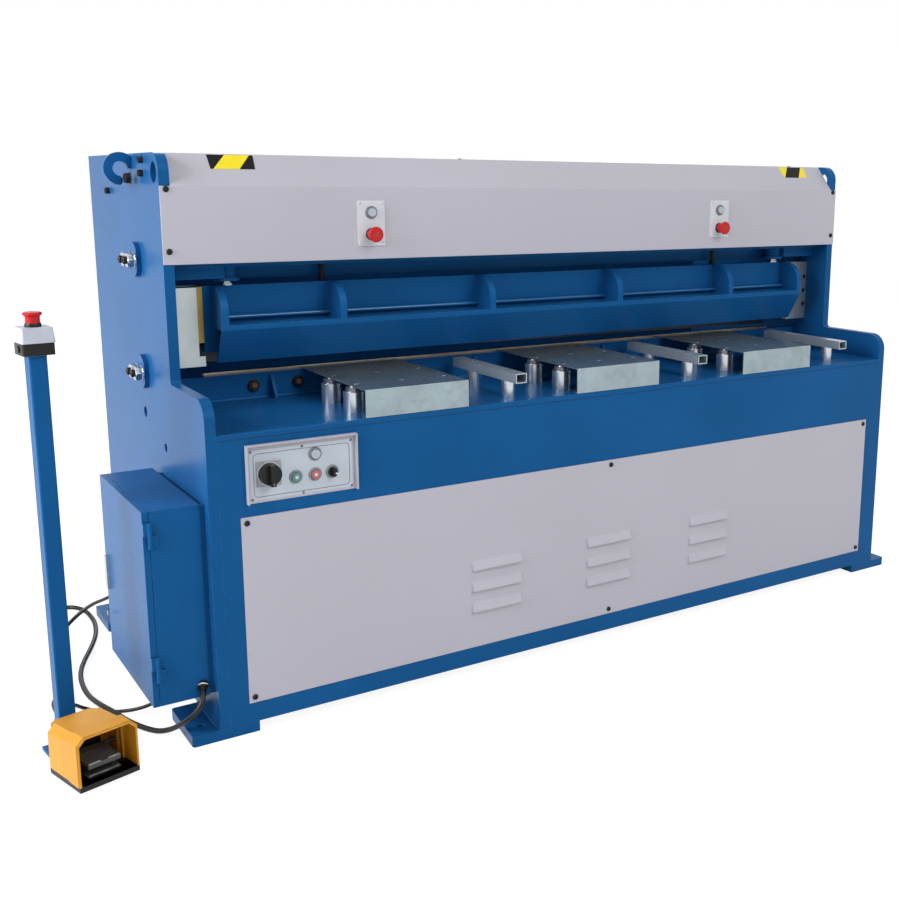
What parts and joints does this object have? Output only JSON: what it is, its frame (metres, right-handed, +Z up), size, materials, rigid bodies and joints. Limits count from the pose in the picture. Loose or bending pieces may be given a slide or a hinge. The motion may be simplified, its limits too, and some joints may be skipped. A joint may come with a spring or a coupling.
{
  "type": "hydraulic guillotine shear",
  "caption": "Floor-standing hydraulic shear with two side plates, a guided knife beam over a feed table, an electric cabinet and a loose stop and foot-switch pedestal.",
  "frame": {"origin": "on the floor at the centre of the four anchor holes", "axes": "+X along the blades to the operator's right, +Y from the operator to the back, +Z up"},
  "size_m": [2.7023, 1.2127, 1.3659],
  "materials": {
    "black_cable": "matte",
    "black_plastic": "satin",
    "blade_steel": "ground",
    "blue_paint": "gloss",
    "brass": "satin",
    "bright_rod": "polished",
    "cast_treadle": "satin",
    "galvanised": "satin",
    "green_plastic": "gloss",
    "grey_sheet": "satin",
    "ground_steel": "ground",
    "red_plastic": "gloss",
    "rubber": "matte",
    "white_plastic": "satin",
    "yellow_guard": "satin",
    "zinc_steel": "turned"
  },
  "bodies": {
    "frame": {"bed_beam": "blue_paint", "blade_holder": "blue_paint", "cabinet_body": "blue_paint", "cable_glands": "black_plastic", "control_panel": "grey_sheet", "cylinder_barrels": "blue_paint", "cylinder_brackets": "blue_paint", "feet": "blue_paint", "foot_switch_base": "black_plastic", "foot_switch_guard": "yellow_guard", "front_panel": "grey_sheet", "front_plate": "blue_paint", "gib_plates": "ground_steel", "gib_strips": "brass", "left_side_plate": "blue_paint", "lifting_hooks": "blue_paint", "lower_blade": "blade_steel", "pedestal_base": "blue_paint", "pedestal_post": "blue_paint", "pilot_lamp": "white_plastic", "power_cable": "black_cable", "rear_chute": "galvanised", "rear_guard": "blue_paint", "rear_panel": "blue_paint", "right_side_plate": "blue_paint", "side_bosses": "blue_paint", "signal_cable": "black_cable", "stop_box": "white_plastic", "stop_buffers": "rubber", "stop_cable": "black_cable", "stop_stations": "grey_sheet", "support_arms": "galvanised", "support_spacers": "zinc_steel", "support_tables": "galvanised", "table_plate": "blue_paint", "top_beam": "blue_paint", "upper_cover": "grey_sheet"},
    "knife_beam": {"beam_plate": "blue_paint", "beam_shelf": "blue_paint", "beam_gussets": "blue_paint", "shelf_bars": "blue_paint", "blade_carrier": "blue_paint", "upper_blade": "blade_steel", "piston_rods": "bright_rod"},
    "door": {"cabinet_door": "blue_paint", "cabinet_lock": "bright_rod"},
    "switch_knob": {"main_switch": "black_plastic"},
    "start_cap": {"start_button": "green_plastic"},
    "stop_cap": {"stop_button": "red_plastic"},
    "selector_knob": {"selector": "black_plastic"},
    "left_station_cap": {"left_station_button": "white_plastic"},
    "right_station_cap": {"right_station_button": "white_plastic"},
    "left_mushroom": {"left_emergency_stop": "red_plastic"},
    "right_mushroom": {"right_emergency_stop": "red_plastic"},
    "pedestal_mushroom": {"pedestal_stop": "red_plastic"},
    "foot_treadle": {"treadle": "cast_treadle"}
  },
  "joints": [
    {"name": "knife_slide", "type": "slide", "parent": "frame", "child": "knife_beam", "axis": [0, 0, -1], "range_m": [0, 0.038]},
    {"name": "door_hinge", "type": "hinge", "parent": "frame", "child": "door", "pos_m": [-1.261, -0.474, 0.341], "axis": [0, 0, 1], "range_deg": [0, 38]},
    {"name": "main_switch_turn", "type": "hinge", "parent": "frame", "child": "switch_knob", "pos_m": [-0.993, -0.498, 0.633], "axis": [0, -1, 0], "range_deg": [0, 90]},
    {"name": "selector_turn", "type": "hinge", "parent": "frame", "child": "selector_knob", "pos_m": [-0.837, -0.498, 0.617], "axis": [0, -1, 0], "range_deg": [0, 60]},
    {"name": "start_press", "type": "slide", "parent": "frame", "child": "start_cap", "axis": [0, 1, 0], "range_m": [0, 0.004], "stiffness_N_per_m": 600, "springref_m": -0.002},
    {"name": "stop_press", "type": "slide", "parent": "frame", "child": "stop_cap", "axis": [0, 1, 0], "range_m": [0, 0.004], "stiffness_N_per_m": 600, "springref_m": -0.002},
    {"name": "left_station_press", "type": "slide", "parent": "frame", "child": "left_station_cap", "axis": [0, 1, 0], "range_m": [0, 0.004], "stiffness_N_per_m": 600, "springref_m": -0.002},
    {"name": "right_station_press", "type": "slide", "parent": "frame", "child": "right_station_cap", "axis": [0, 1, 0], "range_m": [0, 0.004], "stiffness_N_per_m": 600, "springref_m": -0.002},
    {"name": "left_stop_push", "type": "slide", "parent": "frame", "child": "left_mushroom", "axis": [0, 1, 0], "range_m": [0, 0.005]},
    {"name": "right_stop_push", "type": "slide", "parent": "frame", "child": "right_mushroom", "axis": [0, 1, 0], "range_m": [0, 0.005]},
    {"name": "pedestal_stop_push", "type": "slide", "parent": "frame", "child": "pedestal_mushroom", "axis": [0, 0, -1], "range_m": [0, 0.005]},
    {"name": "treadle_press", "type": "hinge", "parent": "frame", "child": "foot_treadle", "pos_m": [-1.42391, -0.46769, 0.051], "axis": [0.965, 0.2622, 0], "range_deg": [0, 6.5], "stiffness_Nm_per_rad": 20, "springref_deg": -5.73}
  ]
}
